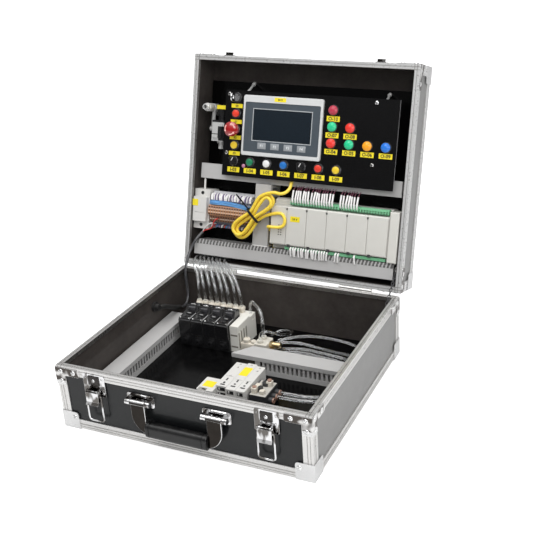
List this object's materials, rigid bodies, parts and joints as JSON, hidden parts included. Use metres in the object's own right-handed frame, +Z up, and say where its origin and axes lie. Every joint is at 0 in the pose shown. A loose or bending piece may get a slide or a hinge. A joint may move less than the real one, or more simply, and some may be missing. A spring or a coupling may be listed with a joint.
{
  "type": "programmable logic controller trainer",
  "caption": "Hinged metal-edged carrying case that holds a controller, a touch panel, push buttons, terminals and pneumatic valves for teaching control wiring.",
  "frame": {"origin": "centre of the bounding box on the surface that the case stands on, lid open", "axes": "+X to the right seen from the front, +Y from the front to the hinged back, +Z up"},
  "size_m": [0.423, 0.582, 0.4812],
  "materials": {
    "base_panels": "smooth laminate, dark lining inside",
    "base_extrusions": "satin anodised",
    "base_corner_fittings": "bright plated steel",
    "base_hinge_hardware": "plated",
    "latch_plates": "bright plated steel",
    "handle_brackets": "bright plated steel",
    "base_mounting_plate": "black, glossy",
    "base_ducts": "light grey",
    "valve_manifold": "dark",
    "port_block": "beige",
    "solenoid_valves": "black",
    "push_in_fittings": "cream",
    "exhaust_silencer": "brass on a dark body",
    "sensor_modules": "white",
    "module_bases": "dark grey",
    "air_tube_bundle": "clear tube",
    "loose_air_tubes": "clear tube",
    "cable_gland": "black",
    "lid_cable": "grey jacket",
    "lid_chain": "bright",
    "lid_panels": "smooth laminate, dark lining inside",
    "lid_extrusions": "satin anodised",
    "lid_corner_fittings": "bright plated steel",
    "latch_keepers": "bright plated steel",
    "lid_hinge_hardware": "plated",
    "lid_mounting_plate": "black, glossy",
    "lid_ducts": "light grey",
    "rails_and_standoffs": "zinc plated",
    "terminal_blocks": "brown and grey rows",
    "relay_module": "white",
    "plc_housing": "pale grey",
    "plc_terminal_strips": "green",
    "control_panel": "black, glossy",
    "touch_screen_housing": "pale frame",
    "touch_screen_glass": "dark screen",
    "switch_collars": "dark plated",
    "pilot_lights": "coloured lenses",
    "air_regulator": "cast body, black bowl",
    "lid_tube_fittings": "black",
    "patch_cable": "yellow jacket",
    "patch_cable_tie_and_plug": "black",
    "left_latch_lever": "bright plated steel",
    "right_latch_lever": "bright plated steel",
    "left_latch_bail": "bright plated wire",
    "right_latch_bail": "bright plated wire",
    "carry_handle": "black grip on plated arms",
    "red_button": "red",
    "yellow_button": "yellow",
    "green_button": "green",
    "white_button": "white",
    "blue_button": "blue",
    "second_red_button": "red",
    "second_yellow_button": "yellow",
    "left_selector": "black",
    "right_selector": "black",
    "switch_key": "bright",
    "emergency_stop_head": "red",
    "emergency_stop_stem": "black",
    "regulator_knob": "black",
    "coupler_sleeve": "white, knurled"
  },
  "bodies": {
    "base": {"base_panels": "base_panels", "base_extrusions": "base_extrusions", "base_corner_fittings": "base_corner_fittings", "base_hinge_hardware": "base_hinge_hardware", "latch_plates": "latch_plates", "handle_brackets": "handle_brackets", "base_mounting_plate": "base_mounting_plate", "base_ducts": "base_ducts", "valve_manifold": "valve_manifold", "port_block": "port_block", "solenoid_valves": "solenoid_valves", "push_in_fittings": "push_in_fittings", "exhaust_silencer": "exhaust_silencer", "sensor_modules": "sensor_modules", "module_bases": "module_bases", "air_tube_bundle": "air_tube_bundle", "loose_air_tubes": "loose_air_tubes", "cable_gland": "cable_gland", "lid_cable": "lid_cable", "lid_chain": "lid_chain"},
    "lid": {"lid_panels": "lid_panels", "lid_extrusions": "lid_extrusions", "lid_corner_fittings": "lid_corner_fittings", "latch_keepers": "latch_keepers", "lid_hinge_hardware": "lid_hinge_hardware", "lid_mounting_plate": "lid_mounting_plate", "lid_ducts": "lid_ducts", "rails_and_standoffs": "rails_and_standoffs", "terminal_blocks": "terminal_blocks", "relay_module": "relay_module", "plc_housing": "plc_housing", "plc_terminal_strips": "plc_terminal_strips", "control_panel": "control_panel", "touch_screen_housing": "touch_screen_housing", "touch_screen_glass": "touch_screen_glass", "switch_collars": "switch_collars", "pilot_lights": "pilot_lights", "air_regulator": "air_regulator", "lid_tube_fittings": "lid_tube_fittings", "patch_cable": "patch_cable", "patch_cable_tie_and_plug": "patch_cable_tie_and_plug"},
    "left_latch_lever": {"left_latch_lever": "left_latch_lever"},
    "right_latch_lever": {"right_latch_lever": "right_latch_lever"},
    "left_latch_bail": {"left_latch_bail": "left_latch_bail"},
    "right_latch_bail": {"right_latch_bail": "right_latch_bail"},
    "carry_handle": {"carry_handle": "carry_handle"},
    "red_button": {"red_button": "red_button"},
    "yellow_button": {"yellow_button": "yellow_button"},
    "green_button": {"green_button": "green_button"},
    "white_button": {"white_button": "white_button"},
    "blue_button": {"blue_button": "blue_button"},
    "second_red_button": {"second_red_button": "second_red_button"},
    "second_yellow_button": {"second_yellow_button": "second_yellow_button"},
    "left_selector": {"left_selector": "left_selector"},
    "right_selector": {"right_selector": "right_selector"},
    "switch_key": {"switch_key": "switch_key"},
    "emergency_stop_head": {"emergency_stop_head": "emergency_stop_head"},
    "emergency_stop_stem": {"emergency_stop_stem": "emergency_stop_stem"},
    "regulator_knob": {"regulator_knob": "regulator_knob"},
    "coupler_sleeve": {"coupler_sleeve": "coupler_sleeve"}
  },
  "joints": [
    {"name": "lid_hinge", "type": "hinge", "parent": "base", "child": "lid", "pos_m": [0, 0.11003, 0.1097], "axis": [1, 0, 0], "range_deg": [0, 107], "deforming": ["air_tube_bundle", "lid_cable", "lid_chain"]},
    {"name": "left_latch_pivot", "type": "hinge", "parent": "base", "child": "left_latch_lever", "pos_m": [-0.142, -0.27997, 0.0795], "axis": [-1, 0, 0], "range_deg": [0, 110]},
    {"name": "left_bail_pivot", "type": "hinge", "parent": "left_latch_lever", "child": "left_latch_bail", "pos_m": [-0.142, -0.27997, 0.072], "axis": [1, 0, 0], "range_deg": [-175, 0]},
    {"name": "right_latch_pivot", "type": "hinge", "parent": "base", "child": "right_latch_lever", "pos_m": [0.142, -0.27997, 0.0795], "axis": [-1, 0, 0], "range_deg": [0, 110]},
    {"name": "right_bail_pivot", "type": "hinge", "parent": "right_latch_lever", "child": "right_latch_bail", "pos_m": [0.142, -0.27997, 0.072], "axis": [1, 0, 0], "range_deg": [-175, 0]},
    {"name": "handle_pivot", "type": "hinge", "parent": "base", "child": "carry_handle", "pos_m": [0, -0.28147, 0.0775], "axis": [1, 0, 0], "range_deg": [-100, 0]},
    {"name": "red_button_press", "type": "slide", "parent": "lid", "child": "red_button", "axis": [0, 0.9563, -0.2924], "range_m": [0, 0.0025], "stiffness_N_per_m": 250},
    {"name": "yellow_button_press", "type": "slide", "parent": "lid", "child": "yellow_button", "axis": [0, 0.9563, -0.2924], "range_m": [0, 0.0025], "stiffness_N_per_m": 250},
    {"name": "green_button_press", "type": "slide", "parent": "lid", "child": "green_button", "axis": [0, 0.9563, -0.2924], "range_m": [0, 0.0025], "stiffness_N_per_m": 250},
    {"name": "white_button_press", "type": "slide", "parent": "lid", "child": "white_button", "axis": [0, 0.9563, -0.2924], "range_m": [0, 0.0025], "stiffness_N_per_m": 250},
    {"name": "blue_button_press", "type": "slide", "parent": "lid", "child": "blue_button", "axis": [0, 0.9563, -0.2924], "range_m": [0, 0.0025], "stiffness_N_per_m": 250},
    {"name": "second_red_button_press", "type": "slide", "parent": "lid", "child": "second_red_button", "axis": [0, 0.9563, -0.2924], "range_m": [0, 0.0025], "stiffness_N_per_m": 250},
    {"name": "second_yellow_button_press", "type": "slide", "parent": "lid", "child": "second_yellow_button", "axis": [0, 0.9563, -0.2924], "range_m": [0, 0.0025], "stiffness_N_per_m": 250},
    {"name": "emergency_stop_press", "type": "slide", "parent": "lid", "child": "emergency_stop_stem", "axis": [0, 0.9563, -0.2924], "range_m": [0, 0.0045], "stiffness_N_per_m": 500},
    {"name": "emergency_stop_twist", "type": "hinge", "parent": "emergency_stop_stem", "child": "emergency_stop_head", "pos_m": [-0.121, 0.18875, 0.35281], "axis": [0, 0.9563, -0.2924], "range_deg": [0, 40], "stiffness_Nm_per_rad": 0.02},
    {"name": "left_selector_turn", "type": "hinge", "parent": "lid", "child": "left_selector", "pos_m": [-0.121, 0.17238, 0.29925], "axis": [0, 0.9563, -0.2924], "range_deg": [0, 60]},
    {"name": "right_selector_turn", "type": "hinge", "parent": "lid", "child": "right_selector", "pos_m": [0.011, 0.17238, 0.29925], "axis": [0, 0.9563, -0.2924], "range_deg": [0, 60]},
    {"name": "switch_key_turn", "type": "hinge", "parent": "lid", "child": "switch_key", "pos_m": [-0.121, 0.20513, 0.40636], "axis": [0, 0.9563, -0.2924], "range_deg": [0, 90]},
    {"name": "regulator_knob_turn", "type": "hinge", "parent": "lid", "child": "regulator_knob", "pos_m": [-0.166, 0.22802, 0.37008], "axis": [0, 0.2924, 0.9563], "range_deg": [-360, 360]},
    {"name": "coupler_sleeve_slide", "type": "slide", "parent": "lid", "child": "coupler_sleeve", "axis": [0, 0.9563, -0.2924], "range_m": [0, 0.004], "stiffness_N_per_m": 400}
  ]
}
